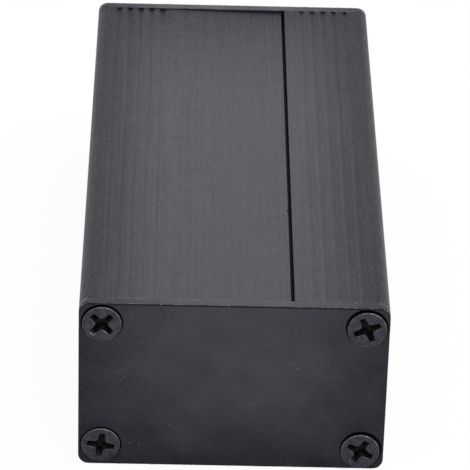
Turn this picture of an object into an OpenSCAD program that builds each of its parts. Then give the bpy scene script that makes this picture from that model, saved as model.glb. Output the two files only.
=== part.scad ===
// Extruded aluminium enclosure for a small circuit board.
// Two identical half-shells are cut from one extrusion, and one of them is turned end for end in
// section, so that the tongue of each short leaf slides under the free edge of the other's long
// leaf. A flat panel closes each end, held by four countersunk screws in the shells' channels.
//
// The origin is the centre of the bottom face. X runs across, Y along the length, Z up.
// "Left" is -X and "front" is -Y.

/* [Enclosure] */
// Width across the two side walls
body_w = 43; // [40:1:80]
// Height between the bottom and top faces
body_h = 26.5; // [26:0.5:50]
// Length of the half-shells, between the end panels
shell_len = 90; // [40:5:200]
// Thickness of the side walls and leaves
wall_t = 1.5; // [1.3:0.1:1.8]
// Radius of the four long outer edges
corner_r = 1.5; // [0.5:0.1:1.8]

/* [Seam] */
// Distance from the middle of the seam to the nearer side face
seam_inset = 13.5; // [12.5:0.5:18]
// Width of the open line between the two leaves
seam_gap = 0.45; // [0.2:0.05:0.7]
// Reach of the tongue under the long leaf
tongue_len = 2.8; // [2:0.2:3.6]
// Thickness of the tongue, and of the web that carries it
tongue_t = 1; // [0.8:0.1:1.2]
// Thickness of the lip under the tongue
lip_t = 1; // [0.8:0.1:1.2]
// Clearance on each side of the tongue, and at its tip
tongue_gap = 0.1; // [0.05:0.05:0.2]
// How far the free edge of a long leaf lies below the end panels' edges
leaf_drop = 0.45; // [0:0.05:0.6]

/* [Grooves] */
// Number of lengthwise grooves along each long edge of the wide faces
groove_count = 5; // [1:1:5]
// Distance from the side face to the middle of a long leaf's outermost groove
long_groove_edge = 3.35; // [3:0.05:4]
// Distance from the side face to the middle of a short leaf's outermost groove
short_groove_edge = 3.6; // [3:0.05:4]
// Distance between the middles of neighbouring grooves
groove_pitch = 1.73; // [1.4:0.01:1.8]
// Width of a groove at the surface
groove_w = 1.1; // [0.6:0.05:1.2]
// Width of a groove at its floor
groove_floor_w = 0.15; // [0.05:0.05:0.5]
// Depth of a groove
groove_depth = 0.3; // [0.1:0.05:0.5]

/* [Screw channels] */
// Distance from a channel's axis to the side face, and to the top or bottom face
channel_inset = 3.2; // [3.2:0.1:4]
// Diameter of the hole that a thread-forming M3 screw is driven into
channel_bore = 2.8; // [2.5:0.1:3]
// Wall round the hole
channel_wall = 1.1; // [0.8:0.1:1.3]
// Width of the slit that opens the channel to the inside
channel_slit = 1.2; // [0.8:0.1:1.6]

/* [Board slots] */
// Height of the slot that holds a circuit board's edge
slot_h = 1.8; // [1.2:0.1:2.2]
// Thickness of the rail under the slot
rail_t = 1; // [0.8:0.1:1.4]
// Reach of the rail from the side wall
rail_reach = 1.5; // [1:0.1:2]

/* [End panels] */
// Thickness of the end panels
panel_t = 1.5; // [1.5:0.1:3]
// Diameter of the screw holes
hole_d = 3.4; // [3.2:0.1:3.6]
// Diameter of the countersinks at the panel's face
sink_d = 6; // [5.6:0.1:6]

/* [Screws] */
// Diameter under the head, which is the thread's nominal size
screw_d = 3; // [2.9:0.1:3]
// Diameter of the flat head
head_d = 5.5; // [5:0.1:5.6]
// Height of the upright band round the head
head_band = 0.3; // [0.1:0.05:0.4]
// Length of a screw, over its head
screw_len = 8; // [6:1:16]
// Clearance between the shank and the channel's wall
shank_gap = 0.22; // [0.22:0.01:0.3]
// Length of the chamfer at the screw's end
tip_chamfer = 0.4; // [0.2:0.1:0.6]
// Width across two opposite arms of the cross recess, at the face of the head
recess_span = 3.9; // [3:0.1:4]
// Width of a recess arm
recess_arm = 0.84; // [0.6:0.02:0.9]
// Depth of the recess
recess_depth = 1.6; // [1.2:0.1:1.8]
// Diameter of the round middle of the recess, at the face of the head
recess_core = 1.9; // [1.4:0.1:2.2]

/* [Hidden] */

$fn = 64;
over = 0.1;                                    // how far a cutter passes the face that it cuts
shell_colour = "#3d3f44";
panel_colour = "#2f3034";
screw_colour = "#232326";

half_w = body_w / 2;
half_h = body_h / 2;
long_leaf_w = body_w - seam_inset - seam_gap / 2;
leaf_tilt = atan(leaf_drop / (long_leaf_w - corner_r));
tongue_slot = tongue_t + 2 * tongue_gap;
boss_r = channel_bore / 2 + channel_wall;
face_y = shell_len / 2 + panel_t;              // outer face of an end panel
shank_d = channel_bore - 2 * shank_gap;
tip_d = shank_d - tip_chamfer;
seat_rise = head_band - (sink_d - head_d) / 2; // a centred head stands this far above the panel
recess_floor_d = 1.2;
recess_point = 0.3;

// Each screw as it was driven, top left, top right, bottom left and bottom right from outside:
// the way its recess is turned, and how far it sits from the middle of its countersink
SCREW_CORNERS = [[-1, 1], [1, 1], [-1, -1], [1, -1]];
SCREW_NAMES = ["top_left", "top_right", "bottom_left", "bottom_right"];
SCREW_TURNS = [45, 24, -9, 62];
SCREW_SHIFTS = [[0, -0.14], [0.04, -0.2], [-0.04, -0.03], [-0.11, -0.18]];

// ---- Section of a half-shell, drawn with the section's centre at the origin ----

// Frame of the long leaf: x from the side face along the leaf, y outwards from its outer face
module in_long_leaf() {
    translate([corner_r - half_w, half_h - corner_r])
        rotate(-leaf_tilt)
            translate([-corner_r, corner_r])
                children();
}

// Frame of the short leaf: x from the side face along the leaf, y inwards from its outer face
module in_short_leaf() {
    translate([-half_w, -half_h])
        children();
}

// The long leaf of the other half, as this half meets it
module in_other_long_leaf() {
    rotate(180)
        in_long_leaf()
            children();
}

module side_wall() {
    translate([-half_w, corner_r - half_h])
        square([wall_t, body_h - 2 * corner_r]);
    for (side = [-1, 1])
        translate([corner_r - half_w, side * (half_h - corner_r)])
            circle(r = corner_r);
}

module long_leaf() {
    slot_end = long_leaf_w - tongue_len - tongue_gap;
    in_long_leaf() {
        translate([corner_r, -wall_t])
            square([long_leaf_w - corner_r, wall_t]);
        // The web and lip that hold the other half's tongue
        translate([slot_end - lip_t, -wall_t - tongue_slot - lip_t])
            square([lip_t, wall_t + tongue_slot]);
        translate([slot_end - lip_t, -wall_t - tongue_slot - lip_t])
            square([long_leaf_w - slot_end + lip_t, lip_t]);
    }
}

module short_leaf() {
    tongue_y = -wall_t - tongue_gap - tongue_t;
    difference() {
        union() {
            in_short_leaf()
                translate([corner_r, 0])
                    square([seam_inset - corner_r, wall_t]);
            in_other_long_leaf() {
                translate([long_leaf_w - tongue_len, tongue_y])
                    square([tongue_len + seam_gap + tongue_t, tongue_t]);
                translate([long_leaf_w + seam_gap / 2, tongue_y])
                    square([seam_gap / 2 + tongue_t, -tongue_y - wall_t / 2]);
            }
        }
        // The open line of the seam, down to the tongue
        in_other_long_leaf()
            translate([long_leaf_w - over, -wall_t - tongue_gap])
                square([seam_gap + over, wall_t + tongue_gap + leaf_drop + over]);
    }
}

// Cutters for a leaf's grooves, the first one at edge, turned so that their floors lie inwards
module grooves(edge, turn) {
    for (i = [0 : groove_count - 1])
        translate([edge + i * groove_pitch, 0])
            rotate(turn)
                polygon([[-groove_w / 2, over], [-groove_w / 2, 0],
                         [-groove_floor_w / 2, -groove_depth], [groove_floor_w / 2, -groove_depth],
                         [groove_w / 2, 0], [groove_w / 2, over]]);
}

// Boss of the upper or lower screw channel, with the flat shoulder that the board slot runs under
module channel_boss(side) {
    shoulder = [channel_inset - wall_t / 2, boss_r];
    translate([channel_inset - half_w, side * (half_h - channel_inset)])
        circle(r = boss_r);
    translate([channel_inset - half_w - shoulder[0] / 2, side * (half_h - channel_inset - boss_r / 2)])
        square(shoulder, center = true);
}

module channel_hole(side) {
    translate([channel_inset - half_w, side * (half_h - channel_inset)]) {
        circle(d = channel_bore);
        rotate(-45 * side)
            translate([0, -channel_slit / 2])
                square([boss_r + over, channel_slit]);
    }
}

module board_rail(side) {
    rail = [wall_t / 2 + rail_reach, rail_t];
    rail_z = half_h - channel_inset - boss_r - slot_h - rail_t / 2;
    translate([(wall_t + rail[0]) / 2 - half_w, side * rail_z])
        square(rail, center = true);
}

module shell_section() {
    difference() {
        union() {
            side_wall();
            long_leaf();
            short_leaf();
            for (side = [-1, 1]) {
                channel_boss(side);
                board_rail(side);
            }
        }
        for (side = [-1, 1])
            channel_hole(side);
        in_long_leaf()
            grooves(long_groove_edge, 0);
        in_short_leaf()
            grooves(short_groove_edge, 180);
    }
}

// ---- Solids ----

// Moves a solid from the section's centre to its height above the bottom face
module at_height() {
    translate([0, 0, half_h])
        children();
}

module half_shell() {
    rotate([90, 0, 0])
        linear_extrude(height = shell_len, center = true)
            shell_section();
}

module panel_outline() {
    for (size = [[body_w - 2 * corner_r, body_h], [body_w, body_h - 2 * corner_r]])
        square(size, center = true);
    for (corner = SCREW_CORNERS)
        translate([corner[0] * (half_w - corner_r), corner[1] * (half_h - corner_r)])
            circle(r = corner_r);
}

// Hole for one screw, along Z, with the panel's outer face at z = 0
module countersink() {
    depth = (sink_d - hole_d) / 2;
    translate([0, 0, -panel_t - over])
        cylinder(d = hole_d, h = panel_t + over);
    translate([0, 0, -depth])
        cylinder(d1 = hole_d, d2 = sink_d, h = depth);
    cylinder(d = sink_d, h = over);
}

// Places a front screw or its hole: local z points out of the front panel
module at_screw(i) {
    corner = SCREW_CORNERS[i];
    at_height()
        translate([corner[0] * (half_w - channel_inset), -face_y,
                   corner[1] * (half_h - channel_inset)])
            rotate([90, 0, 0])
                children();
}

module end_panel() {
    color(panel_colour)
        difference() {
            at_height()
                translate([0, panel_t - face_y, 0])
                    rotate([90, 0, 0])
                        linear_extrude(height = panel_t)
                            panel_outline();
            for (i = [0 : len(SCREW_CORNERS) - 1])
                at_screw(i)
                    countersink();
        }
}

// Cross recess: two tapering slots and a round middle, with the head's face at z = 0
module cross_recess() {
    for (turn = [0, 90])
        rotate([90, 0, turn])
            linear_extrude(height = recess_arm, center = true)
                polygon([[-recess_span / 2, over], [-recess_span / 2, 0],
                         [-recess_floor_d / 2, -recess_depth], [recess_floor_d / 2, -recess_depth],
                         [recess_span / 2, 0], [recess_span / 2, over]]);
    translate([0, 0, -recess_depth])
        cylinder(d1 = recess_floor_d, d2 = recess_core, h = recess_depth);
    cylinder(d = recess_core, h = over);
    translate([0, 0, -recess_depth - recess_point])
        cylinder(d1 = 0, d2 = recess_floor_d, h = recess_point);
}

// One screw along Z, head up, with the head's face at z = 0. The shank is the thread's root.
module countersunk_screw() {
    cone_h = (head_d - screw_d) / 2;
    difference() {
        union() {
            translate([0, 0, -head_band])
                cylinder(d = head_d, h = head_band);
            translate([0, 0, -head_band - cone_h])
                cylinder(d1 = screw_d, d2 = head_d, h = cone_h);
            translate([0, 0, tip_chamfer - screw_len])
                cylinder(d = shank_d, h = screw_len - tip_chamfer - head_band - cone_h / 2);
            translate([0, 0, -screw_len])
                cylinder(d1 = tip_d, d2 = shank_d, h = tip_chamfer);
        }
        cross_recess();
    }
}

module front_screw(i) {
    shift = SCREW_SHIFTS[i];
    color(screw_colour)
        at_screw(i)
            translate([shift[0], shift[1], seat_rise + norm(shift)])
                rotate(SCREW_TURNS[i])
                    countersunk_screw();
}

// ---- One module for each piece ----

module left_shell() {
    color(shell_colour)
        at_height()
            half_shell();
}

module right_shell() {
    color(shell_colour)
        at_height()
            rotate([0, 180, 0])
                half_shell();
}

module front_panel() {
    end_panel();
}

module rear_panel() {
    rotate([0, 0, 180])
        end_panel();
}

// The rear screws are the front ones turned about Z, so left and right change places
module rear_screw(i) {
    rotate([0, 0, 180])
        front_screw(i % 2 == 0 ? i + 1 : i - 1);
}

left_shell();
right_shell();
front_panel();
rear_panel();
for (i = [0 : len(SCREW_NAMES) - 1]) {
    front_screw(i);
    rear_screw(i);
}
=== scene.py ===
import math

import bmesh
import bpy
from bpy.props import FloatProperty, FloatVectorProperty, IntProperty, PointerProperty
from mathutils import Matrix, Vector


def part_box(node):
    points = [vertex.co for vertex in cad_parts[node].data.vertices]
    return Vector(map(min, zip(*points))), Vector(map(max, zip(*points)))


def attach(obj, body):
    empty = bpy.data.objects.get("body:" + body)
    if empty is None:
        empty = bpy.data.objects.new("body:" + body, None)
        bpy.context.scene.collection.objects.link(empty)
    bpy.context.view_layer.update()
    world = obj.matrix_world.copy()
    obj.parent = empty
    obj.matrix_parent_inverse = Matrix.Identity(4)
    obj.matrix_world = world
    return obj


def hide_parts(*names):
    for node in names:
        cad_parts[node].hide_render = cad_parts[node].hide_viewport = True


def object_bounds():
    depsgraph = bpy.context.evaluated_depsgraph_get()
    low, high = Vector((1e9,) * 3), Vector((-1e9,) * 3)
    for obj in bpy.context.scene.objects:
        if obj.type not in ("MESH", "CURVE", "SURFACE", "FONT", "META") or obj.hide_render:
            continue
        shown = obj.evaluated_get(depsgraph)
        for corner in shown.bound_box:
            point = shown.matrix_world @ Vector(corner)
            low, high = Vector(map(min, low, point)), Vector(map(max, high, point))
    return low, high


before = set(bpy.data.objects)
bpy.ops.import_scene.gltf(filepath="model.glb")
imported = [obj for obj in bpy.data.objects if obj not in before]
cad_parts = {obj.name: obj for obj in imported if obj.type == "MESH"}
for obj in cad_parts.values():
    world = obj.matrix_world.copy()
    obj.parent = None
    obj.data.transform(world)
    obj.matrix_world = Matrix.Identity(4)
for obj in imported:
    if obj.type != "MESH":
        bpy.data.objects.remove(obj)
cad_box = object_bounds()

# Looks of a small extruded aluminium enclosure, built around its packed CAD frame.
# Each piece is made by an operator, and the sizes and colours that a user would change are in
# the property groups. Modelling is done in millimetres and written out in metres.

bl_info = {
    "name": "Extruded Enclosure",
    "version": (1, 0, 0),
    "blender": (4, 5, 0),
    "location": "View3D > Sidebar > Enclosure",
    "description": "Builds the half-shells, end panels and screws of an extruded enclosure",
    "category": "Add Mesh",
}

MM = 0.001
# Radius of the enclosure's long edges in millimetres, and the steps that a drawn corner takes
CORNER_RADIUS = 1.5
CORNER_STEPS = 6
# Points of the CAD mesh closer than this, in millimetres, are one point, and its faces that meet
# at less than this angle, in degrees, are one flat face
WELD_DISTANCE = 0.0005
FLAT_ANGLE = 0.4
# Edges that turn by more than this, in degrees, are softened
SHARP_ANGLE = 25
SOFT_SEGMENTS = 2
RIM_SEGMENTS = 3
# The cross recess in millimetres: the round lands between its arms, and the arms' ends
LAND_RADIUS = 0.5
LAND_DISTANCE = 1.42
LAND_STEPS = 8
ARM_ROUNDING = 0.07
# Share of the cross's plan that is left at its floor, and the height of the point below that
CROSS_FLOOR = 0.6
CROSS_POINT = 0.35
HEAD_SIDES = 72
# The thread: rings to one turn, how narrow its crests are, and the length of the screw's tip in
# millimetres
THREAD_STEPS = 4
CREST_SHARPNESS = 2.6
TIP_LENGTH = 0.4
# How high the fine grain of the panels and of the screws stands, in metres
PANEL_GRAIN = 0.000004
SCREW_GRAIN = 0.000003
# Direction that counts as up for the painted highlight on the screws' edges, up and to the right
# towards the softbox
HIGHLIGHT_SIDE = (0.4, 0, 0.92)
# Middle of the small dent in the left half-shell's free edge, in millimetres, and the shares of
# its radius that it takes along each axis
NICK = (7.77, -19.2, 26.05)
NICK_SHAPE = (0.6, 1.3, 3.0)
# Where dust gathers on the ends: x and z of the middle, and the radius, in millimetres
DUST_CLUSTERS = ((-15.2, 14.8, 2.0), (-13.8, 4.2, 1.9), (3.6, 11.2, 1.6), (8.7, 16.8, 1.2),
                 (8.7, 22.4, 1.1))

SHELLS = ("left_shell", "right_shell")
DENTED_SHELL = SHELLS[0]
PANELS = ("front_panel", "rear_panel")
# Distance from the middle to the half-shells' ends and to the panels' faces, in millimetres
SHELL_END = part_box(SHELLS[0])[1].y / MM
PANEL_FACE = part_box("rear_panel")[1].y / MM
CORNERS = ("top_left", "top_right", "bottom_left", "bottom_right")
OTHER_SIDE = dict(zip(CORNERS, ("top_right", "top_left", "bottom_right", "bottom_left")))
# How far each screw's cross is turned, seen from outside its own panel
CROSS_TURNS = {"top_left": 45, "top_right": 24, "bottom_left": -9, "bottom_right": 62}
# Painted glints at the front, drawn as spots of bared steel: x, z and radius in millimetres, and
# how far the face beside the cross is bared
GLINT_PLACES = ((-19.55, 21.75, 0.5, 0.42), (-17.85, 21.75, 0.42, 0.0), (-18.8, 1.6, 0.4, 0.2),
         (16.9, 1.4, 0.4, 0.22))

WHITE = (1, 1, 1, 1)
# Half the floor's width in millimetres, and how far it shows plain white to the camera and in
# reflections
FLOOR_REACH = 4000
FLOOR_WHITENESS = (0.95, 0.2)
# The softbox: width, depth and place in metres, and the point that it faces
LAMP_SIZE = (0.5, 0.35)
LAMP_PLACE = (0.35, -0.05, 0.62)
LAMP_TARGET = (0, 0, 0.02)
# The camera: place in metres, and heading, downward tilt and roll in degrees
CAMERA_PLACE = (-0.0082, -0.4497, 0.2715)
CAMERA_HEADING = -1.12
CAMERA_TILT = 30.1
CAMERA_ROLL = 1.74


# ---------------------------------------------------------------------------------------------
# Sizes and colours
# ---------------------------------------------------------------------------------------------

class ShellSettings(bpy.types.PropertyGroup):
    """Finish of the two half-shells"""
    colour: FloatVectorProperty(
        name="Colour", description="Colour of the anodised extrusion",
        subtype="COLOR", size=3, min=0, max=1, default=(0.0137, 0.0147, 0.0290))
    base_ior: FloatProperty(
        name="Base IOR", description="Refraction of the dyed layer", min=1, default=1.23)
    coat_ior: FloatProperty(
        name="Coat IOR", description="Refraction of the sealing coat", min=1, default=1.5)
    bare_colour: FloatVectorProperty(
        name="Bare colour", description="Colour of the metal where the black is worn off",
        subtype="COLOR", size=3, min=0, max=1, default=(0.42, 0.42, 0.43))
    edge_break: FloatProperty(
        name="Edge break", description="Width of the softened edges",
        unit="LENGTH", min=0, default=0.00009)
    roughness: FloatProperty(
        name="Roughness", description="Roughness of the blasted surface",
        min=0, max=1, default=0.42)
    grain_height: FloatProperty(
        name="Grain height", description="Height of the blasted grain",
        unit="LENGTH", min=0, default=0.000006)
    streak_height: FloatProperty(
        name="Streak height", description="Height of the lengthwise drawing lines",
        unit="LENGTH", min=0, default=0.000005)
    nick_radius: FloatProperty(
        name="Nick radius", description="Radius of the small dent beside the upper seam",
        unit="LENGTH", min=0.00001, default=0.0003)


class PanelSettings(bpy.types.PropertyGroup):
    """Finish of the two end panels"""
    colour: FloatVectorProperty(
        name="Colour", description="Colour of the anodised plate",
        subtype="COLOR", size=3, min=0, max=1, default=(0.0101, 0.0106, 0.0205))
    base_ior: FloatProperty(
        name="Base IOR", description="Refraction of the dyed layer", min=1, default=1.25)
    coat_ior: FloatProperty(
        name="Coat IOR", description="Refraction of the sealing coat", min=1, default=1.45)
    bare_colour: FloatVectorProperty(
        name="Bare colour", description="Colour of the metal where the black is worn off",
        subtype="COLOR", size=3, min=0, max=1, default=(0.42, 0.42, 0.43))
    edge_break: FloatProperty(
        name="Edge break", description="Width of the softened edges",
        unit="LENGTH", min=0, default=0.0001)
    roughness: FloatProperty(
        name="Roughness", description="Roughness of the plate", min=0, max=1, default=0.38)
    smudge_size: FloatProperty(
        name="Smudge size", description="Size of the cloudy handling marks",
        unit="LENGTH", min=0.0001, default=0.0045)


class ScrewSettings(bpy.types.PropertyGroup):
    """Shape and finish of the end screws"""
    colour: FloatVectorProperty(
        name="Colour", description="Colour of the blackened steel",
        subtype="COLOR", size=3, min=0, max=1, default=(0.045, 0.045, 0.054))
    # Painted shade inside the cross recess
    inside_colour: FloatVectorProperty(
        name="Inside colour", description="Colour inside the cross recess",
        subtype="COLOR", size=3, min=0, max=1, default=(0.036, 0.035, 0.038))
    # Colour of wear, also used for the painted glints and the painted highlight on upper edges
    wear_and_glint_colour: FloatVectorProperty(
        name="Worn colour", description="Colour of the steel where the black is worn off",
        subtype="COLOR", size=3, min=0, max=1, default=(0.5, 0.49, 0.48))
    band_height: FloatProperty(
        name="Band height", description="Height of the upright band round the head",
        unit="LENGTH", min=0, default=0.0003)
    thread_diameter: FloatProperty(
        name="Thread diameter", description="Nominal size of the thread",
        unit="LENGTH", min=0.001, default=0.003)
    root_diameter: FloatProperty(
        name="Root diameter", description="Diameter at the bottom of the thread",
        unit="LENGTH", min=0.001, default=0.00236)
    thread_pitch: FloatProperty(
        name="Thread pitch", description="Distance between two turns of the thread",
        unit="LENGTH", min=0.0001, default=0.0005)
    cross_span: FloatProperty(
        name="Cross span", description="Width across two opposite arms of the cross recess",
        unit="LENGTH", min=0.001, default=0.0039)
    cross_arm: FloatProperty(
        name="Cross arm", description="Width of an arm at its end",
        unit="LENGTH", min=0.0001, default=0.00084)
    cross_depth: FloatProperty(
        name="Cross depth", description="Depth of the cross recess",
        unit="LENGTH", min=0.0001, default=0.0016)
    rim_break: FloatProperty(
        name="Rim break", description="Width of the rounding round the head's face",
        unit="LENGTH", min=0, default=0.00014)
    cross_break: FloatProperty(
        name="Cross break", description="Width of the rounding round the cross",
        unit="LENGTH", min=0, default=0.00005)


class MarkSettings(bpy.types.PropertyGroup):
    """Burrs left by cutting, and dust"""
    burr_colour: FloatVectorProperty(
        name="Burr colour", description="Colour of bare metal where the edges were cut",
        subtype="COLOR", size=3, min=0, max=1, default=(0.55, 0.55, 0.57))
    burr_size: FloatProperty(
        name="Burr size", description="Mean half length of a burr",
        unit="LENGTH", min=0, default=0.00006)
    burr_spacing: FloatProperty(
        name="Burr spacing", description="Distance between places where a burr may stand",
        unit="LENGTH", min=0.00001, default=0.00022)
    burr_share: FloatProperty(
        name="Burr share", description="How readily burrs stand along an edge",
        subtype="FACTOR", min=0, max=1, default=0.62)
    dust_colour: FloatVectorProperty(
        name="Dust colour", description="Colour of the dust",
        subtype="COLOR", size=3, min=0, max=1, default=(0.38, 0.38, 0.38))
    dust_size: FloatProperty(
        name="Dust size", description="Mean half width of a speck of dust",
        unit="LENGTH", min=0, default=0.00007)
    dust_density: FloatProperty(
        name="Dust density", description="Specks to the square metre where dust gathers",
        min=0, default=1500000)
    seed: IntProperty(name="Seed", description="Seed of the scattered marks", default=7)


class StudioSettings(bpy.types.PropertyGroup):
    """Floor, lamp and camera"""
    floor_colour: FloatVectorProperty(
        name="Floor colour", description="Colour of the floor",
        subtype="COLOR", size=3, min=0, max=1, default=(0.93, 0.93, 0.93))
    lamp_power: FloatProperty(
        name="Lamp power", description="Power of the overhead softbox",
        unit="POWER", min=0, default=2.2)
    sky_strength: FloatProperty(
        name="Sky strength", description="Strength of the light from all round",
        min=0, default=0.75)
    focal_length: FloatProperty(
        name="Focal length", description="Focal length in millimetres, for a sensor of 36 mm",
        min=1, default=263)


SETTINGS = {
    "enclosure_shell": ShellSettings,
    "enclosure_panel": PanelSettings,
    "enclosure_screw": ScrewSettings,
    "enclosure_marks": MarkSettings,
    "enclosure_studio": StudioSettings,
}


# ---------------------------------------------------------------------------------------------
# Nodes
# ---------------------------------------------------------------------------------------------

class Wire:
    """A socket that works in ordinary arithmetic: an expression adds its Math nodes"""

    def __init__(self, board, socket):
        self.board = board
        self.socket = socket

    def _maths(self, operation, first, second):
        node = self.board.add("ShaderNodeMath", {"operation": operation}, {0: first, 1: second})
        return node.wire()

    def __add__(self, other):
        return self._maths("ADD", self, other)

    def __sub__(self, other):
        return self._maths("SUBTRACT", self, other)

    def __rsub__(self, other):
        return self._maths("SUBTRACT", other, self)

    def __mul__(self, other):
        return self._maths("MULTIPLY", self, other)

    __radd__ = __add__
    __rmul__ = __mul__

    def clipped(self):
        """The value kept between 0 and 1"""
        node = self.board.add("ShaderNodeClamp", {}, {"Value": self})
        return node.wire()

    def between(self, low, high):
        """0 below low, 1 above high and smooth in between"""
        node = self.board.add(
            "ShaderNodeMapRange", {"interpolation_type": "SMOOTHSTEP"},
            {"Value": self, "From Min": low, "From Max": high})
        return node.wire()


class Placed:
    """A node on a board, whose outputs are read as wires"""

    def __init__(self, board, node):
        self.board = board
        self.node = node

    def wire(self, output=0):
        return Wire(self.board, self.node.outputs[output])


class Board:
    """One node tree, of a material or of Geometry Nodes"""

    def __init__(self, tree):
        self.tree = tree

    def add(self, kind, settings=None, sockets=None):
        """Adds a node, sets its settings, and then fills its sockets with values or wires"""
        node = self.tree.nodes.new(kind)
        for name, value in (settings or {}).items():
            setattr(node, name, value)
        for key, value in (sockets or {}).items():
            if isinstance(value, Wire):
                self.tree.links.new(value.socket, node.inputs[key])
            else:
                node.inputs[key].default_value = value
        return Placed(self, node)

    def place(self, stretch=(1, 1, 1)):
        """Object coordinates in millimetres, each axis multiplied by its own factor"""
        here = self.add("ShaderNodeTexCoord").wire("Object")
        return self.add("ShaderNodeVectorMath", {"operation": "MULTIPLY"},
                        {0: here, 1: tuple(s / MM for s in stretch)}).wire()

    def noise(self, place, scale, detail=2.0):
        """Noise from 0 to 1 with so many blotches to the millimetre"""
        node = self.add("ShaderNodeTexNoise", {},
                        {"Vector": place, "Scale": scale, "Detail": detail})
        return node.wire("Fac")

    def tint(self, factor, first, second):
        """A colour between two colours"""
        node = self.add("ShaderNodeMix", {"data_type": "RGBA"},
                        {"Factor": factor, 6: (*first, 1), 7: (*second, 1)})
        return node.wire(2)

    def mixed_colour(self, factor, first, second):
        """A colour wire led towards a plain colour"""
        node = self.add("ShaderNodeMix", {"data_type": "RGBA"},
                        {"Factor": factor, 6: first, 7: (*second, 1)})
        return node.wire(2)

    def axis(self, place, name):
        """One coordinate of a place"""
        return self.add("ShaderNodeSeparateXYZ", {}, {0: place}).wire(name)

    def absolute(self, value):
        """A value without its sign"""
        return self.add("ShaderNodeMath", {"operation": "ABSOLUTE"}, {0: value}).wire()

    def near(self, place, point, radius):
        """1 at a point in millimetres, falling to 0 at a radius"""
        away = self.add("ShaderNodeVectorMath", {"operation": "DISTANCE"}, {0: place, 1: point})
        return 1 - (away.wire("Value") * (1 / radius)).between(0.4, 1.0)

    def smaller(self, first, second):
        """The smaller of two values"""
        return self.add("ShaderNodeMath", {"operation": "MINIMUM"}, {0: first, 1: second}).wire()

    def attribute(self, name):
        """A number that the mesh carries on its faces"""
        return self.add("ShaderNodeAttribute", {"attribute_name": name}).wire("Fac")

    def bump(self, height, distance):
        """A surface normal from a height, in the unit of distance"""
        node = self.add("ShaderNodeBump", {}, {"Height": height, "Distance": distance})
        return node.wire()


def new_finish(name, **constants):
    """An empty material with a Principled shader, its constant sockets set"""
    material = bpy.data.materials.new(name)
    material.use_nodes = True
    shader = material.node_tree.nodes["Principled BSDF"]
    for socket, value in constants.items():
        shader.inputs[socket.replace("_", " ")].default_value = value
    return material, Board(material.node_tree), shader


def connect(board, shader, sockets):
    """Leads wires to a shader's sockets"""
    for name, wire in sockets.items():
        board.tree.links.new(wire.socket, shader.inputs[name])


def scaled(colour, factor):
    """A colour made lighter or darker"""
    return tuple(min(1.0, c * factor) for c in colour)


def greyed(colour, factor):
    """A colour half way to grey, made lighter or darker"""
    return tuple((c + colour[0]) / 2 * factor for c in colour)


# ---------------------------------------------------------------------------------------------
# Finishes
# ---------------------------------------------------------------------------------------------

def shell_finish(settings):
    """Black anodised extrusion: fine blasted grain over faint lengthwise drawing lines.

    Painted shade: the clear sealing coat is made thinner and the colour darker towards the long
    edges and one end, and there is little coat and a darker colour inside. The cut ends show bare
    metal along their edges.
    """
    material, board, shader = new_finish(
        "anodised_extrusion", IOR=settings.base_ior, Coat_IOR=settings.coat_ior,
        Coat_Roughness=settings.roughness)
    high = cad_box[1] / MM
    place = board.place()
    across = board.absolute(board.axis(place, "X"))
    length = board.axis(place, "Y")
    height = board.axis(place, "Z")
    grain = board.noise(place, 2.6, 5.0)
    blotches = board.noise(place, 0.35, 3.0)
    streaks = board.noise(board.place((1, 0.012, 1)), 2.6, 3.0)
    depth = board.smaller(high.x - across, board.smaller(high.z - height, height))
    # Painted shade inside the walls: a darker colour and less coat
    inside = depth.between(0.5, 0.8)
    # Painted shade: darker, with less coat, towards the long edges and towards the rear end
    side = board.absolute(board.axis(place, "X") + 0.5) * (1 / high.x)
    sides = side.between(0.37, 1.02)
    rear = (length * (1 / high.y)).clipped()
    rear_shade = rear * rear * (rear * 0.36 + 0.34) * (1 - sides * 0.8)
    uneven = (blotches - 0.5) * 0.15 + (grain - 0.5) + (streaks - 0.5) * 0.3
    # Painted shade at the sides and the rear end, plus random tone from grain, blotches and streaks
    shade_and_tone = (0.18 + sides * 0.58 + rear_shade + uneven).clipped()
    colour = board.tint(shade_and_tone, scaled(settings.colour, 1.1), greyed(settings.colour, 0.8))
    # Painted shade: a darker colour inside
    inside_shaded = board.mixed_colour(inside, colour, scaled(settings.colour, 0.85))
    ends = (board.absolute(length) * (1 / SHELL_END)).between(0.993, 0.998)
    specks = board.noise(place, 2.2, 4.0).between(0.52, 0.7) * 0.6
    worn = board.attribute("edge") * ends * specks
    relief = grain * settings.grain_height + streaks * settings.streak_height
    connect(board, shader, {
        "Base Color": board.mixed_colour(worn, inside_shaded, settings.bare_colour),
        "Metallic": worn,
        "Roughness": settings.roughness + (streaks - 0.5) * 0.12 + inside * 0.2,
        "Coat Weight": (1 - shade_and_tone) * (1 - inside * 0.7),
        "Normal": board.bump(relief, 1.0),
    })
    return material


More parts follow.
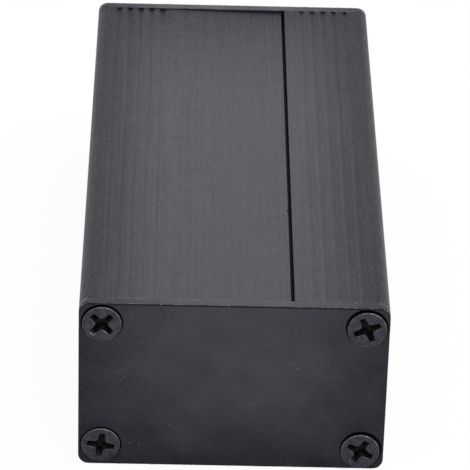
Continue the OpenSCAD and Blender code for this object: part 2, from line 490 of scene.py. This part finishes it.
def panel_finish(settings):
    """Black anodised plate: smoother, with cloudy handling marks, bare spots on its edges, and
    painted shade towards its sides, its bottom and under its upper front edge
    """
    material, board, shader = new_finish(
        "anodised_plate", IOR=settings.base_ior, Coat_IOR=settings.coat_ior,
        Coat_Roughness=settings.roughness)
    high = cad_box[1] / MM
    place = board.place()
    smudges = board.noise(place, MM / settings.smudge_size, 3.5)
    fine = board.noise(place, 2.6, 5.0)
    across = board.absolute(board.axis(place, "X")) * (1 / high.x)
    height = board.axis(place, "Z")
    outer = board.absolute(board.axis(place, "Y")).between(PANEL_FACE - 0.06, PANEL_FACE - 0.03)
    # Painted shade: darker, with less coat, towards the sides and towards the bottom
    drop = 1 - height * (1 / high.z)
    sides = across.between(0.3, 1.05)
    edge = board.attribute("edge")
    # Painted shade in a dark line just under the upper front edge, and worn spots along that edge
    line = height.between(high.z - 0.36, high.z - 0.24) * outer
    low_shade = drop.between(0.35, 1.1) * 0.62 * (1 - sides * 0.7)
    uneven = (smudges - 0.5) * 0.75 + (fine - 0.5) * 0.7
    # Painted shade at the sides and bottom, plus random tone from smudges and fine grain
    shade_and_tone = (0.1 + sides * 0.6 + low_shade + uneven).clipped()
    colour = board.tint(shade_and_tone, scaled(settings.colour, 1.15), scaled(settings.colour, 0.6))
    with_shade_line = board.mixed_colour(line, colour, scaled(settings.colour, 0.35))
    specks = board.noise(place, 2.8, 4.0).between(0.56, 0.68) * 0.6 + 0.07
    middle = 1 - across.between(0.9, 0.97)
    patches = board.noise(place, 0.3, 3.0).between(0.35, 0.5)
    worn = edge * height.between(high.z - 0.6, high.z - 0.1) * specks * patches * middle
    connect(board, shader, {
        "Base Color": board.mixed_colour(worn, with_shade_line, settings.bare_colour),
        "Metallic": worn,
        "Roughness": settings.roughness + (smudges - 0.5) * 0.2,
        "Coat Weight": (1 - shade_and_tone) * (1 - line),
        "Normal": board.bump(fine, PANEL_GRAIN),
    })
    return material


def screw_finish(settings):
    """Blackened steel: rougher with painted shade inside the cross, painted glints of bare steel at
    given spots, worn edges with a painted highlight on the upper ones
    """
    material, board, shader = new_finish("blackened_steel", Metallic=1.0)
    place = board.place()
    mottle = board.noise(place, 1.6, 5.0)
    speckle = board.noise(place, 7.0, 4.0)
    face = board.tint((mottle * 0.7 + speckle * 0.5).between(0.4, 0.8),
                      scaled(settings.colour, 0.7), scaled(settings.colour, 1.45))
    inside = board.attribute("inside")
    edge = board.attribute("edge")
    # Painted highlight: edges facing up and to the right get more bare steel
    upper = board.attribute("upper").between(0.1, 0.75)
    # Painted glints: bare steel at the given spots, and on the face beside the cross
    glints = 0
    face_glints = 0
    for x, z, radius, share in GLINT_PLACES:
        glint = board.near(place, (x, cad_box[0].y / MM, z), radius)
        glints = glint + glints
        face_glints = glint * share + face_glints
    patchy = (mottle * 0.6 + speckle * 0.6).between(0.42, 0.68)
    # Bare steel: a little on all edges as wear, more as painted highlight and painted glints
    worn = ((edge * (upper * 0.32 + glints * 2 + 0.1) + face_glints) * patchy).clipped()
    # Painted shade: a darker colour inside the cross
    inside_shaded = board.mixed_colour(inside, face, settings.inside_colour)
    connect(board, shader, {
        "Base Color": board.mixed_colour(worn, inside_shaded, settings.wear_and_glint_colour),
        "Roughness": (0.34 + (mottle - 0.5) * 0.2 + inside * 0.4).clipped(),
        "Normal": board.bump(speckle, SCREW_GRAIN),
    })
    return material


def burr_finish(settings):
    """Bare aluminium where a cut edge broke through the black"""
    material, board, shader = new_finish("bare_aluminium", Metallic=1.0, Roughness=0.4)
    patchy = board.noise(board.place(), 1.5, 2.0).between(0.35, 0.65)
    colour = board.tint(patchy, scaled(settings.burr_colour, 0.3), settings.burr_colour)
    connect(board, shader, {"Base Color": colour})
    return material


def dust_finish(settings):
    """Pale dust"""
    material, board, shader = new_finish("dust", Roughness=0.9)
    colour = board.tint(board.noise(board.place(), 4.0), scaled(settings.dust_colour, 0.4),
                        settings.dust_colour)
    connect(board, shader, {"Base Color": colour})
    return material


# ---------------------------------------------------------------------------------------------
# Meshes
# ---------------------------------------------------------------------------------------------

def round_off(mesh, edges, width, segments):
    """Rounds edges, and marks the new faces 1 in the face attribute "edge\""""
    made = bmesh.ops.bevel(mesh, geom=edges, offset=width, segments=segments, profile=0.5,
                           affect="EDGES", clamp_overlap=True)
    mark = mesh.faces.layers.float["edge"]
    for face in made["faces"]:
        face[mark] = 1


def is_sharp(edge):
    """Whether an edge lies between two faces that turn sharply"""
    return len(edge.link_faces) == 2 and edge.calc_face_angle(0) > math.radians(SHARP_ANGLE)


def soften(mesh, width):
    """Breaks the sharp edges of a mesh in millimetres by so many millimetres"""
    mesh.faces.layers.float.new("edge")
    round_off(mesh, [e for e in mesh.edges if is_sharp(e)], width, SOFT_SEGMENTS)


def piece_from(mesh, name, material):
    """Writes a mesh in millimetres to a new object in metres, shaded smooth"""
    bmesh.ops.transform(mesh, matrix=Matrix.Scale(MM, 4), verts=mesh.verts)
    data = bpy.data.meshes.new(name)
    mesh.to_mesh(data)
    mesh.free()
    return piece_of(data, name, material)


def piece_of(data, name, material, crease=50):
    """An object of a finished mesh, at the origin, with flat faces kept flat beside soft edges"""
    data.materials.clear()
    data.materials.append(material)
    for face in data.polygons:
        face.use_smooth = True
        face.material_index = 0
    data.set_sharp_from_angle(angle=math.radians(crease))
    piece = bpy.data.objects.new(name, data)
    bpy.context.scene.collection.objects.link(piece)
    flat = piece.modifiers.new("Flat faces", "WEIGHTED_NORMAL")
    flat.keep_sharp = True
    return piece


def temporary(mesh, name):
    """A short-lived object of a mesh, in the mesh's own unit"""
    data = bpy.data.meshes.new(name)
    mesh.to_mesh(data)
    mesh.free()
    holder = bpy.data.objects.new(name, data)
    bpy.context.scene.collection.objects.link(holder)
    return holder


def cad_copy(node):
    """The CAD node's solid in millimetres, joined up and with its flat faces whole"""
    mesh = bmesh.new()
    mesh.from_mesh(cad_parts[node].data)
    bmesh.ops.transform(mesh, matrix=Matrix.Scale(1 / MM, 4), verts=mesh.verts)
    bmesh.ops.remove_doubles(mesh, verts=mesh.verts, dist=WELD_DISTANCE)
    bmesh.ops.dissolve_limit(mesh, angle_limit=math.radians(FLAT_ANGLE),
                             verts=mesh.verts, edges=mesh.edges)
    return mesh


def dented(mesh, radius):
    """A half-shell's mesh with the small dent cut into its free edge, not marked as worn"""
    ball = bmesh.new()
    ball.faces.layers.float.new("edge")
    bmesh.ops.create_icosphere(ball, subdivisions=2, radius=radius)
    bmesh.ops.scale(ball, verts=ball.verts, vec=NICK_SHAPE)
    bmesh.ops.translate(ball, verts=ball.verts, vec=NICK)
    return carved(mesh, [ball])


def panel_edge(low, high):
    """The outline of an end panel in metres, as (x, z) points, with round corners"""
    radius = CORNER_RADIUS * MM
    points = []
    for turn, x, z in ((0, high.x - radius, high.z - radius), (1, low.x + radius, high.z - radius),
                       (2, low.x + radius, low.z + radius), (3, high.x - radius, low.z + radius)):
        for i in range(CORNER_STEPS + 1):
            angle = (turn + i / CORNER_STEPS) * math.pi / 2
            points.append((x + radius * math.cos(angle), z + radius * math.sin(angle)))
    return points


def dress(piece, slot, *nodes):
    """Puts a finished piece in the place of its CAD nodes"""
    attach(piece, "root")
    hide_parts(*nodes)


# ---------------------------------------------------------------------------------------------
# Screw
# ---------------------------------------------------------------------------------------------

def turned_solid(rings, sides):
    """A solid of revolution about Z from rings of (height, radius as a function of the angle)"""
    mesh = bmesh.new()
    turns = [2 * math.pi * i / sides for i in range(sides)]
    loops = []
    for height, radius in rings:
        loops.append([mesh.verts.new((radius(a) * math.cos(a), radius(a) * math.sin(a), height))
                      for a in turns])
    for upper, lower in zip(loops, loops[1:]):
        for i in range(sides):
            j = (i + 1) % sides
            mesh.faces.new((upper[i], lower[i], lower[j], upper[j]))
    mesh.faces.new(loops[0])
    mesh.faces.new(list(reversed(loops[-1])))
    bmesh.ops.recalc_face_normals(mesh, faces=mesh.faces)
    return mesh


def screw_rings(settings, head_radius, length):
    """Rings of a countersunk screw from the face of its head, at z = 0, down to its end"""
    band = settings.band_height / MM
    neck = settings.thread_diameter / MM / 2
    root = settings.root_diameter / MM / 2
    pitch = settings.thread_pitch / MM
    thread_top = -band - (head_radius - neck)
    steps = int((length - TIP_LENGTH + thread_top) / pitch * THREAD_STEPS)

    def plain(radius):
        return lambda angle: radius

    def thread(height):
        def radius(angle):
            phase = (height / pitch - angle / (2 * math.pi)) % 1
            crest = max(0.0, 1 - abs(phase - 0.5) * CREST_SHARPNESS)
            return root + (neck - root) * crest
        return radius

    rings = [(0, plain(head_radius)), (-band, plain(head_radius)), (thread_top, plain(neck)),
             (thread_top - 0.02, plain(root))]
    for i in range(1, steps):
        height = thread_top - i * pitch / THREAD_STEPS
        rings.append((height, thread(height)))
    rings.append((TIP_LENGTH - length, plain(root)))
    rings.append((-length, plain(root - TIP_LENGTH / 2)))
    return rings


def cross_outline(settings):
    """Plan of the cross recess: arms that widen inwards, with round lands between them"""
    reach = settings.cross_span / MM / 2
    half_arm = settings.cross_arm / MM / 2
    corner = LAND_DISTANCE / math.sqrt(2)
    away = Vector((corner - reach, corner - half_arm))
    arm_side = math.atan2(away.y, away.x) + math.asin(LAND_RADIUS / away.length)
    first = arm_side + math.pi / 2
    last = 2.5 * math.pi - first
    points = []
    for arm in range(4):
        turn = Matrix.Rotation(arm * math.pi / 2, 2)
        quarter = [Vector((reach - ARM_ROUNDING, -half_arm)),
                   Vector((reach, ARM_ROUNDING - half_arm)),
                   Vector((reach, half_arm - ARM_ROUNDING)),
                   Vector((reach - ARM_ROUNDING, half_arm))]
        for i in range(LAND_STEPS + 1):
            angle = first + (last - first) * i / LAND_STEPS
            quarter.append(Vector((corner + LAND_RADIUS * math.cos(angle),
                                   corner + LAND_RADIUS * math.sin(angle))))
        points.extend(turn @ p for p in quarter)
    return points


def cross_cutter(settings):
    """Solid of the cross recess, tapering from above the head's face to a point"""
    outline = cross_outline(settings)
    depth = settings.cross_depth / MM
    above = 0.3
    mesh = bmesh.new()
    levels = [(above, 1 + above / depth * (1 - CROSS_FLOOR)), (-depth, CROSS_FLOOR)]
    loops = [[mesh.verts.new((p.x * share, p.y * share, z)) for p in outline]
             for z, share in levels]
    point = mesh.verts.new((0, 0, -depth - CROSS_POINT))
    count = len(outline)
    for i in range(count):
        j = (i + 1) % count
        mesh.faces.new((loops[0][i], loops[1][i], loops[1][j], loops[0][j]))
        mesh.faces.new((loops[1][i], point, loops[1][j]))
    mesh.faces.new(loops[0])
    bmesh.ops.recalc_face_normals(mesh, faces=mesh.faces)
    return mesh


def carved(mesh, cutters):
    """A mesh in millimetres less each cutter"""
    body = temporary(mesh, "carved_body")
    tools = [temporary(cutter, "carving_tool") for cutter in cutters]
    for tool in tools:
        cut = body.modifiers.new("Cut", "BOOLEAN")
        cut.operation = "DIFFERENCE"
        cut.solver = "EXACT"
        cut.object = tool
    result = bmesh.new()
    result.from_object(body, bpy.context.evaluated_depsgraph_get())
    for holder in [body, *tools]:
        data = holder.data
        bpy.data.objects.remove(holder)
        bpy.data.meshes.remove(data)
    return result


def screw_mesh(settings, head_radius, length):
    """One screw along Z with the face of its head at z = 0, in metres.

    Its faces are marked 1 in "inside" within the cross and 1 in "edge" on the rounded edges.
    """
    mesh = carved(turned_solid(screw_rings(settings, head_radius, length), HEAD_SIDES),
                  [cross_cutter(settings)])
    inside = mesh.faces.layers.float.new("inside")
    mesh.faces.layers.float.new("edge")
    # Slack in millimetres: across the screw, along it, and below the cross
    aside, level, under = 0.01, 0.001, 1
    reach = settings.cross_span / MM / 2 + aside
    deepest = -settings.cross_depth / MM - under
    for face in mesh.faces:
        radius = max(v.co.xy.length for v in face.verts)
        if deepest < face.calc_center_median().z < -level and radius < reach:
            face[inside] = 1
    rim = [e for e in mesh.edges
           if all(abs(v.co.z) < level and v.co.xy.length > head_radius - aside for v in e.verts)]
    round_off(mesh, rim, settings.rim_break / MM, RIM_SEGMENTS)
    cross = [e for e in mesh.edges if is_sharp(e)
             and all(abs(v.co.z) < level and v.co.xy.length < reach for v in e.verts)]
    round_off(mesh, cross, settings.cross_break / MM, SOFT_SEGMENTS)
    bmesh.ops.transform(mesh, matrix=Matrix.Scale(MM, 4), verts=mesh.verts)
    data = bpy.data.meshes.new("screw_pattern")
    mesh.to_mesh(data)
    mesh.free()
    return data


# ---------------------------------------------------------------------------------------------
# Geometry Nodes
# ---------------------------------------------------------------------------------------------

def new_tree(name, inputs):
    """A Geometry Nodes tree with a geometry in and out and named inputs after it"""
    tree = bpy.data.node_groups.new(name, "GeometryNodeTree")
    tree.interface.new_socket("Geometry", in_out="OUTPUT", socket_type="NodeSocketGeometry")
    tree.interface.new_socket("Geometry", in_out="INPUT", socket_type="NodeSocketGeometry")
    for label, kind in inputs.items():
        tree.interface.new_socket(label, in_out="INPUT", socket_type="NodeSocket" + kind)
    board = Board(tree)
    return board, board.add("NodeGroupInput")


def finish_tree(board, geometry, material):
    """Ends a tree in plain geometry with one material"""
    real = board.add("GeometryNodeRealizeInstances", {}, {"Geometry": geometry}).wire()
    dressed = board.add("GeometryNodeSetMaterial", {}, {"Geometry": real, "Material": material})
    board.add("NodeGroupOutput", {}, {"Geometry": dressed.wire()})
    return board.tree


def run_tree(tree, base, values, name):
    """Evaluates a tree on a base object and returns the plain mesh, with the base removed"""
    grower = base.modifiers.new(name, "NODES")
    grower.node_group = tree
    sockets = {item.name: item.identifier for item in tree.interface.items_tree
               if item.in_out == "INPUT"}
    for label, value in values.items():
        grower[sockets[label]] = value
    bpy.context.view_layer.update()
    evaluated = base.evaluated_get(bpy.context.evaluated_depsgraph_get())
    data = bpy.data.meshes.new_from_object(evaluated)
    bpy.data.objects.remove(base)
    return data


def screw_seats_tree():
    """Sets one screw on every seat, turned as the seat says, and marks how far faces look up
    towards the side of the painted highlight
    """
    board, ins = new_tree("Screw seats", {"Screw": "Object", "Material": "Material"})
    pattern = board.add("GeometryNodeObjectInfo", {"transform_space": "ORIGINAL"},
                        {"Object": ins.wire("Screw")}).wire("Geometry")
    turn = board.add("GeometryNodeInputNamedAttribute", {"data_type": "FLOAT_VECTOR"},
                     {"Name": "seat_turn"}).wire("Attribute")
    rotation = board.add("FunctionNodeEulerToRotation", {}, {"Euler": turn}).wire()
    screws = board.add("GeometryNodeInstanceOnPoints", {},
                       {"Points": ins.wire("Geometry"), "Instance": pattern, "Rotation": rotation})
    real = board.add("GeometryNodeRealizeInstances", {}, {"Geometry": screws.wire()}).wire()
    # How far each face turns towards the side of the painted highlight
    facing = board.add("ShaderNodeVectorMath", {"operation": "DOT_PRODUCT"},
                       {0: board.add("GeometryNodeInputNormal").wire(), 1: HIGHLIGHT_SIDE})
    marked = board.add("GeometryNodeStoreNamedAttribute", {"data_type": "FLOAT", "domain": "FACE"},
                       {"Geometry": real, "Name": "upper", "Value": facing.wire("Value")}).wire()
    return finish_tree(board, marked, ins.wire("Material"))


def burr_tree():
    """Sets small uneven flecks along edges, with gaps where a slow noise is low"""
    board, ins = new_tree("Edge burrs", {
        "Spacing": "Float", "Burr size": "Float", "Share": "Float", "Seed": "Int",
        "Material": "Material"})
    path = board.add("GeometryNodeMeshToCurve", {}, {"Mesh": ins.wire("Geometry")}).wire()
    places = board.add("GeometryNodeCurveToPoints", {"mode": "LENGTH"},
                       {"Curve": path, "Length": ins.wire("Spacing")})
    here = board.add("GeometryNodeInputPosition").wire()
    patches = board.add("ShaderNodeTexNoise", {}, {"Vector": here, "Scale": 210.0, "Detail": 3.0})
    luck = board.add("FunctionNodeRandomValue", {"data_type": "FLOAT"},
                     {"Seed": ins.wire("Seed")}).wire(1)
    missed = board.add("FunctionNodeCompare", {"data_type": "FLOAT", "operation": "GREATER_THAN"},
                       {0: luck * 0.4 + patches.wire("Fac"), 1: ins.wire("Share")}).wire()
    kept = board.add("GeometryNodeDeleteGeometry", {"domain": "POINT"},
                     {"Geometry": places.wire("Points"), "Selection": missed}).wire()
    burr = board.add("GeometryNodeMeshIcoSphere", {},
                     {"Radius": ins.wire("Burr size"), "Subdivisions": 1}).wire("Mesh")
    size = board.add("FunctionNodeRandomValue", {"data_type": "FLOAT_VECTOR"},
                     {0: (0.25, 0.25, 0.5), 1: (0.6, 0.6, 2.0),
                      "Seed": ins.wire("Seed") + 1}).wire(0)
    burrs = board.add("GeometryNodeInstanceOnPoints", {},
                      {"Points": kept, "Instance": burr, "Rotation": places.wire("Rotation"),
                       "Scale": size})
    return finish_tree(board, burrs.wire(), ins.wire("Material"))


def dust_tree():
    """Scatters specks over faces, most of them in the clusters"""
    board, ins = new_tree("Dust", {
        "Density": "Float", "Speck size": "Float", "Seed": "Int", "Material": "Material"})
    here = board.add("GeometryNodeInputPosition").wire()
    clouds = board.add("ShaderNodeTexNoise", {},
                       {"Vector": here, "Scale": 90.0, "Detail": 2.0}).wire("Fac")
    ends = board.add("ShaderNodeVectorMath", {"operation": "MULTIPLY"},
                     {0: here, 1: (1 / MM, 0, 1 / MM)}).wire()
    gathered = 0
    for x, z, radius in DUST_CLUSTERS:
        gathered = board.near(ends, (x, 0, z), radius) + gathered
    places = board.add("GeometryNodeDistributePointsOnFaces", {},
                       {"Mesh": ins.wire("Geometry"), "Density": ins.wire("Density"),
                        "Seed": ins.wire("Seed")})
    luck = board.add("FunctionNodeRandomValue", {"data_type": "FLOAT"},
                     {"Seed": ins.wire("Seed") + 2}).wire(1)
    missed = board.add("FunctionNodeCompare", {"data_type": "FLOAT", "operation": "GREATER_THAN"},
                       {0: luck, 1: clouds.between(0.5, 0.75) * 0.02 + gathered * 0.8}).wire()
    kept = board.add("GeometryNodeDeleteGeometry", {"domain": "POINT"},
                     {"Geometry": places.wire("Points"), "Selection": missed}).wire()
    speck = board.add("GeometryNodeMeshIcoSphere", {},
                      {"Radius": ins.wire("Speck size"), "Subdivisions": 1}).wire("Mesh")
    size = board.add("FunctionNodeRandomValue", {"data_type": "FLOAT_VECTOR"},
                     {0: (0.4, 0.3, 0.2), 1: (1.5, 1.0, 0.5),
                      "Seed": ins.wire("Seed") + 1}).wire(0)
    specks = board.add("GeometryNodeInstanceOnPoints", {},
                       {"Points": kept, "Instance": speck,
                        "Rotation": places.wire("Rotation"), "Scale": size})
    return finish_tree(board, specks.wire(), ins.wire("Material"))


# ---------------------------------------------------------------------------------------------
# Operators
# ---------------------------------------------------------------------------------------------

class ENCLOSURE_OT_half_shells(bpy.types.Operator):
    """Make the two half-shells"""
    bl_idname = "enclosure.half_shells"
    bl_label = "Half-shells"

    def execute(self, context):
        settings = context.scene.enclosure_shell
        finish = shell_finish(settings)
        for node in SHELLS:
            mesh = cad_copy(node)
            soften(mesh, settings.edge_break / MM)
            if node == DENTED_SHELL:
                mesh = dented(mesh, settings.nick_radius / MM)
            piece = piece_from(mesh, node + "_extrusion", finish)
            dress(piece, "anodised_shell", node)
        return {"FINISHED"}


class ENCLOSURE_OT_end_panels(bpy.types.Operator):
    """Make the two end panels"""
    bl_idname = "enclosure.end_panels"
    bl_label = "End panels"

    def execute(self, context):
        settings = context.scene.enclosure_panel
        finish = panel_finish(settings)
        for node in PANELS:
            mesh = cad_copy(node)
            soften(mesh, settings.edge_break / MM)
            piece = piece_from(mesh, node + "_plate", finish)
            dress(piece, "anodised_panel", node)
        return {"FINISHED"}


class ENCLOSURE_OT_end_screws(bpy.types.Operator):
    """Make the eight end screws"""
    bl_idname = "enclosure.end_screws"
    bl_label = "End screws"

    def execute(self, context):
        settings = context.scene.enclosure_screw
        low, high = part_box("front_screw_top_left")
        pattern = bpy.data.objects.new(
            "screw_pattern",
            screw_mesh(settings, (high.x - low.x) / MM / 2, (high.y - low.y) / MM))
        context.scene.collection.objects.link(pattern)
        seats = bpy.data.meshes.new("screw_seats")
        nodes = [f"{end}_screw_{corner}" for end in ("front", "rear") for corner in CORNERS]
        places = []
        turns = []
        for node in nodes:
            low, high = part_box(node)
            middle = (low + high) / 2
            end, corner = node.split("_screw_")
            rear = end == "rear"
            if rear:
                corner = OTHER_SIDE[corner]
            places.append((middle.x, high.y if rear else low.y, middle.z))
            facing = Matrix.Rotation(math.pi if rear else 0, 3, "Z")
            upright = facing @ Matrix.Rotation(math.pi / 2, 3, "X")
            turned = upright @ Matrix.Rotation(math.radians(CROSS_TURNS[corner]), 3, "Z")
            turns.append(turned.to_euler())
        seats.from_pydata(places, [], [])
        layer = seats.attributes.new("seat_turn", "FLOAT_VECTOR", "POINT")
        for item, turn in zip(layer.data, turns):
            item.vector = turn
        base = bpy.data.objects.new("screw_seats", seats)
        context.scene.collection.objects.link(base)
        finish = screw_finish(settings)
        data = run_tree(screw_seats_tree(), base, {"Screw": pattern, "Material": finish},
                        "Screw seats")
        bpy.data.objects.remove(pattern)
        piece = piece_of(data, "end_screws", finish, 28)
        dress(piece, "blackened_steel", *nodes)
        return {"FINISHED"}


class ENCLOSURE_OT_edge_burrs(bpy.types.Operator):
    """Make the burrs along the end panels' cut edges"""
    bl_idname = "enclosure.edge_burrs"
    bl_label = "Edge burrs"

    def execute(self, context):
        settings = context.scene.enclosure_marks
        loops = bmesh.new()
        for node in PANELS:
            low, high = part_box(node)
            for y in (low.y, high.y):
                verts = [loops.verts.new((x, y, z)) for x, z in panel_edge(low, high)]
                for first, second in zip(verts, verts[1:] + verts[:1]):
                    loops.edges.new((first, second))
        base = temporary(loops, "panel_edges")
        finish = burr_finish(settings)
        made = run_tree(burr_tree(), base, {
            "Spacing": settings.burr_spacing, "Burr size": settings.burr_size,
            "Share": settings.burr_share, "Seed": settings.seed, "Material": finish}, "Burrs")
        piece = piece_of(made, "edge_burrs", finish)
        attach(piece, "root")
        return {"FINISHED"}


class ENCLOSURE_OT_dust(bpy.types.Operator):
    """Scatter dust over the top and both ends"""
    bl_idname = "enclosure.dust"
    bl_label = "Dust"

    def execute(self, context):
        settings = context.scene.enclosure_marks
        faces = bmesh.new()
        for node in SHELLS + PANELS:
            faces.from_mesh(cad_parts[node].data)
        clean = [f for f in faces.faces if not self.gathers_dust(f, cad_box[1])]
        bmesh.ops.delete(faces, geom=clean, context="FACES")
        base = temporary(faces, "dusty_faces")
        finish = dust_finish(settings)
        made = run_tree(dust_tree(), base, {
            "Density": settings.dust_density, "Speck size": settings.dust_size,
            "Seed": settings.seed, "Material": finish}, "Dust")
        piece = piece_of(made, "dust", finish)
        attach(piece, "root")
        return {"FINISHED"}

    def gathers_dust(self, face, high):
        """Whether a face, in metres, is part of the top or of the two ends"""
        middle = face.calc_center_median()
        up = face.normal.z > 0.99 and middle.z > high.z - 0.001
        end = abs(face.normal.y) > 0.99 and abs(middle.y) > high.y - 0.0005
        return up or end


class ENCLOSURE_OT_studio(bpy.types.Operator):
    """Make the floor, the lamp and the camera"""
    bl_idname = "enclosure.studio"
    bl_label = "Studio"

    def execute(self, context):
        settings = context.scene.enclosure_studio
        self.make_floor(settings)
        self.make_light(context, settings)
        self.make_camera(context, settings)
        context.scene.view_settings.view_transform = "Standard"
        return {"FINISHED"}

    def make_floor(self, settings):
        """A pale floor far wider than the object"""
        mesh = bmesh.new()
        bmesh.ops.create_grid(mesh, x_segments=8, y_segments=8, size=FLOOR_REACH)
        bmesh.ops.transform(mesh, matrix=Matrix.Scale(MM, 4), verts=mesh.verts)
        data = bpy.data.meshes.new("floor")
        mesh.to_mesh(data)
        mesh.free()
        material, board, shader = new_finish(
            "floor_paper", Base_Color=(*settings.floor_colour, 1), Roughness=1.0,
            Specular_IOR_Level=0.0)
        self.whiten(board, self.seen(board, *FLOOR_WHITENESS), Wire(board, shader.outputs[0]),
                    "ShaderNodeEmission", material.node_tree.nodes["Material Output"])
        data.materials.append(material)
        floor = bpy.data.objects.new("floor", data)
        bpy.context.scene.collection.objects.link(floor)

    def make_light(self, context, settings):
        """White walls all round, and a softbox overhead to the right"""
        world = bpy.data.worlds.new("studio")
        context.scene.world = world
        world.use_nodes = True
        board = Board(world.node_tree)
        walls = world.node_tree.nodes["Background"]
        walls.inputs["Color"].default_value = WHITE
        walls.inputs["Strength"].default_value = settings.sky_strength
        self.whiten(board, self.seen(board, 1, 1), Wire(board, walls.outputs[0]),
                    "ShaderNodeBackground", world.node_tree.nodes["World Output"])
        lamp = bpy.data.lights.new("softbox", "AREA")
        lamp.shape = "RECTANGLE"
        lamp.size, lamp.size_y = LAMP_SIZE
        lamp.energy = settings.lamp_power
        holder = bpy.data.objects.new("softbox", lamp)
        context.scene.collection.objects.link(holder)
        holder.location = LAMP_PLACE
        holder.rotation_euler = (Vector(LAMP_TARGET) - holder.location).to_track_quat(
            "-Z", "Y").to_euler()

    def seen(self, board, by_camera, by_reflection):
        """The given shares for what the camera sees straight or by reflection, 0 for other light"""
        paths = board.add("ShaderNodeLightPath")
        return (paths.wire("Is Camera Ray") * by_camera
                + paths.wire("Is Glossy Ray") * by_reflection
                + paths.wire("Is Transmission Ray") * by_reflection).clipped()

    def whiten(self, board, share, lit, kind, output):
        """Shows plain white in place of a lit surface by a share"""
        white = board.add(kind, {}, {"Color": WHITE, "Strength": 1.0})
        mixed = board.add("ShaderNodeMixShader", {}, {0: share, 1: lit, 2: white.wire()})
        board.tree.links.new(mixed.wire().socket, output.inputs["Surface"])

    def make_camera(self, context, settings):
        """A long lens in front of the object and above it"""
        camera = bpy.data.cameras.new("camera")
        camera.sensor_width = 36
        camera.lens = settings.focal_length
        camera.clip_start = 0.01
        holder = bpy.data.objects.new("camera", camera)
        context.scene.collection.objects.link(holder)
        heading = Matrix.Rotation(math.radians(CAMERA_HEADING), 3, "Z")
        tilt = Matrix.Rotation(math.radians(90 - CAMERA_TILT), 3, "X")
        roll = Matrix.Rotation(math.radians(CAMERA_ROLL), 3, "Z")
        turn = heading @ tilt @ roll
        holder.matrix_world = Matrix.Translation(CAMERA_PLACE) @ turn.to_4x4()
        context.scene.camera = holder


STEPS = (
    ENCLOSURE_OT_half_shells,
    ENCLOSURE_OT_end_panels,
    ENCLOSURE_OT_end_screws,
    ENCLOSURE_OT_edge_burrs,
    ENCLOSURE_OT_dust,
    ENCLOSURE_OT_studio,
)


class VIEW3D_PT_enclosure(bpy.types.Panel):
    """Lists the steps and their settings"""
    bl_label = "Enclosure"
    bl_space_type = "VIEW_3D"
    bl_region_type = "UI"
    bl_category = "Enclosure"

    def draw(self, context):
        for step in STEPS:
            self.layout.operator(step.bl_idname)
        for name in SETTINGS:
            group = getattr(context.scene, name)
            box = self.layout.box()
            box.label(text=group.__doc__ or name)
            for prop in group.__annotations__:
                box.prop(group, prop)


def register():
    for group in SETTINGS.values():
        bpy.utils.register_class(group)
    for name, group in SETTINGS.items():
        setattr(bpy.types.Scene, name, PointerProperty(type=group))
    for step in STEPS:
        bpy.utils.register_class(step)
    bpy.utils.register_class(VIEW3D_PT_enclosure)


def unregister():
    bpy.utils.unregister_class(VIEW3D_PT_enclosure)
    for step in reversed(STEPS):
        bpy.utils.unregister_class(step)
    for name in SETTINGS:
        delattr(bpy.types.Scene, name)
    for group in reversed(SETTINGS.values()):
        bpy.utils.unregister_class(group)


def main():
    register()
    bpy.ops.enclosure.half_shells()
    bpy.ops.enclosure.end_panels()
    bpy.ops.enclosure.end_screws()
    bpy.ops.enclosure.edge_burrs()
    bpy.ops.enclosure.dust()
    bpy.ops.enclosure.studio()


if __name__ == "__main__":
    main()
